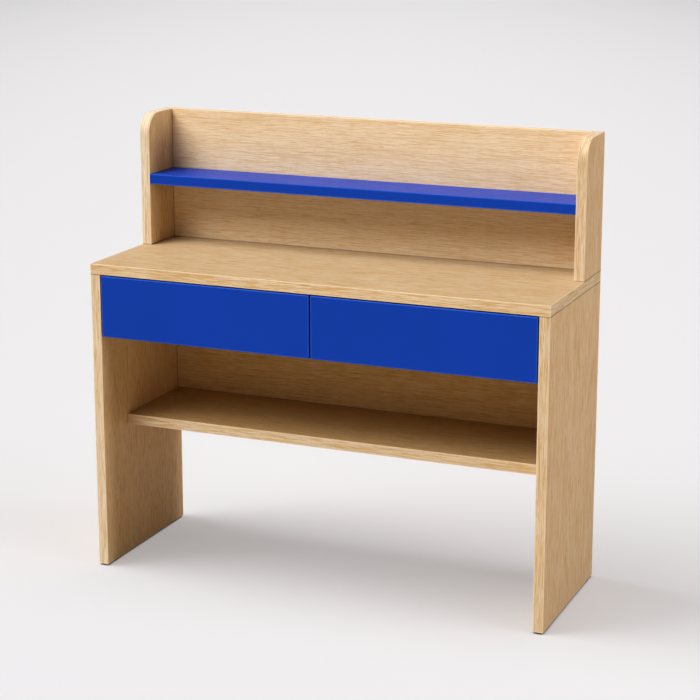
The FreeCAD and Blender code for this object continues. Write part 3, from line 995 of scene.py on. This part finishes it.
class DESK_OT_stage(bpy.types.Operator):
    """Lays the floor, and sets the light and the camera"""

    bl_idname = "desk.stage"
    bl_label = "Stage"

    def execute(self, context):
        stage = context.scene.desk_stage
        floor = self.lay_floor(context, stage)
        self.light_room(context, stage)
        self.hang_lamps(context, stage, floor)
        self.aim(context, stage)
        context.scene.view_settings.view_transform = "Standard"
        return {"FINISHED"}

    def lay_floor(self, context, stage):
        """The floor: a painted pool of light round the desk, and painted shade in a thin line under
        its legs. It partly glows, which makes the lamps' shadow on it shallower.
        """
        half = stage.floor_size / 2
        square = [(-half, -half, 0), (half, -half, 0), (half, half, 0), (-half, half, 0)]
        data = bpy.data.meshes.new("floor")
        data.from_pydata(square, [], [(0, 1, 2, 3)])
        floor = bpy.data.objects.new("floor", data)
        context.collection.objects.link(floor)

        finish = Finish("floor", roughness=0.9, specular_ior_level=0.0)
        seen = finish.seen()
        x, y = finish.split(finish.place())[:2]
        # Painted pool of light: the floor dims towards the rim of an ellipse round the desk.
        cos, sin = math.cos(stage.azimuth), math.sin(stage.azimuth)
        across = (x * cos + y * sin) / stage.pool_width
        away = (y * cos - x * sin) / stage.pool_depth
        edge = smaller(across * across + away * away, 1.0)
        reach = {"Distance": stage.contact}
        # Painted contact shade: the floor turns dark where the desk closes it in.
        open_air = finish.node("ShaderNodeAmbientOcclusion", {"samples": 8}, reach, "AO")
        open_air = finish.ease(open_air, 0.2, 0.8)
        pale, lit = (
            finish.blend(edge, linear(colour), toned(linear(colour), stage.dimmed))
            for colour in (stage.floor, stage.floor_lit)
        )
        pale, lit = (finish.blend(open_air, CONTACT_SHADE, colour) for colour in (pale, lit))
        finish.set(base_color=finish.blend(seen, linear(stage.bounce), lit))
        glow = finish.node("ShaderNodeEmission", None, {"Color": pale, "Strength": 1.0})
        surface = Signal(finish, finish.surface.outputs[0])
        shown = finish.mix_shaders(seen * (1.0 - stage.shadow), surface, glow)
        finish.feed(finish.tree.nodes["Material Output"].inputs[0], shown)
        data.materials.append(finish.material)
        return floor

    def light_room(self, context, stage):
        """The world: a weak light on the desk, warmer near the floor, before a plain backdrop."""
        world = bpy.data.worlds.new("pale_room")
        world.use_nodes = True
        tree = world.node_tree
        tree.nodes.remove(tree.nodes["Background"])
        room = Nodes(tree)
        height = room.split(room.node("ShaderNodeTexCoord", output="Generated"))[Z]
        high = room.ease(height, *DUSK)
        low, overhead, backdrop = (
            room.node("ShaderNodeBackground", None, {"Color": colour, "Strength": strength})
            for colour, strength in (
                (LOW_LIGHT, stage.horizon),
                (HIGH_LIGHT, stage.zenith),
                (toned(linear(stage.floor), stage.dimmed), 1.0),
            )
        )
        lit = room.mix_shaders(high, low, overhead)
        shown = room.mix_shaders(room.seen(), lit, backdrop)
        room.feed(tree.nodes["World Output"].inputs[0], shown)
        context.scene.world = world

    def hang_lamps(self, context, stage, floor):
        """Hangs the desk's lamps, and others that light the floor alone."""
        desk_lamps = (
            Lamp("main", stage.main, left=36.0, above=49.0, size=DIFFUSED),
            Lamp("side", stage.side, left=60.0, above=50.0, size=DIFFUSED),
            Lamp("rim", stage.rim, left=-90.0, above=2.0, size=6.0),
            Lamp("back", stage.back, left=180.0, above=8.0, size=10.0),
        )
        floor_lamps = (
            Lamp("floor_left", stage.floor_light, left=75.0, above=50.0, size=DIFFUSED),
            Lamp("floor_right", stage.floor_light * 0.50, left=-90.0, above=30.0, size=DIFFUSED),
            Lamp("floor_top", stage.floor_light * 0.28, left=0.0, above=90.0, size=DIFFUSED),
            Lamp("floor_front", stage.floor_light * 0.22, left=40.0, above=45.0, size=DIFFUSED),
        )
        for lamps, state in ((desk_lamps, "EXCLUDE"), (floor_lamps, "INCLUDE")):
            receivers = bpy.data.collections.new("floor_" + state.lower())
            receivers.objects.link(floor)
            receivers.collection_objects[0].light_linking.link_state = state
            for lamp in lamps:
                sun = bpy.data.lights.new(lamp.name, "SUN")
                sun.energy = lamp.strength
                sun.angle = math.radians(lamp.size)
                light = bpy.data.objects.new(lamp.name, sun)
                towards = towards_angle(-math.radians(lamp.left), math.radians(lamp.above))
                light.rotation_euler = towards.to_track_quat("Z", "Y").to_euler()
                light.light_linking.receiver_collection = receivers
                context.collection.objects.link(light)

    def aim(self, context, stage):
        """Sets the camera at its distance from the target, and looks at it."""
        back = towards_angle(stage.azimuth, stage.elevation)
        lens = bpy.data.cameras.new("camera")
        lens.lens = stage.lens
        lens.shift_y = stage.shift
        lens.clip_end = 2 * stage.floor_size
        camera = bpy.data.objects.new("camera", lens)
        camera.location = Vector(stage.target) + back * stage.distance
        camera.rotation_euler = back.to_track_quat("Z", "Y").to_euler()
        context.collection.objects.link(camera)
        context.scene.camera = camera


STEPS = (
    DESK_OT_oak,
    DESK_OT_blue,
    DESK_OT_drawer_boxes,
    DESK_OT_slides,
    DESK_OT_fasteners,
    DESK_OT_slide_screws,
    DESK_OT_box_screws,
    DESK_OT_cam_caps,
    DESK_OT_stage,
)


class DESK_PT_sidebar(bpy.types.Panel):
    """Lists the steps that dress the desk"""

    bl_idname = "DESK_PT_sidebar"
    bl_label = "Student Desk"
    bl_space_type = "VIEW_3D"
    bl_region_type = "UI"
    bl_category = "Desk"

    def draw(self, context):
        for step in STEPS:
            self.layout.operator(step.bl_idname)


GROUPS = {
    "desk_finishes": DeskFinishes,
    "desk_fittings": DeskFittings,
    "desk_stage": DeskStage,
}
CLASSES = (*GROUPS.values(), *STEPS, DESK_PT_sidebar)


def register():
    for made in CLASSES:
        bpy.utils.register_class(made)
    for name, group in GROUPS.items():
        setattr(bpy.types.Scene, name, PointerProperty(type=group))


def unregister():
    for name in GROUPS:
        delattr(bpy.types.Scene, name)
    for made in reversed(CLASSES):
        bpy.utils.unregister_class(made)


def main():
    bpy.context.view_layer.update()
    register()
    for step in STEPS:
        group, name = step.bl_idname.split(".")
        getattr(getattr(bpy.ops, group), name)()
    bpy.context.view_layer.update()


if __name__ == "__main__":
    main()
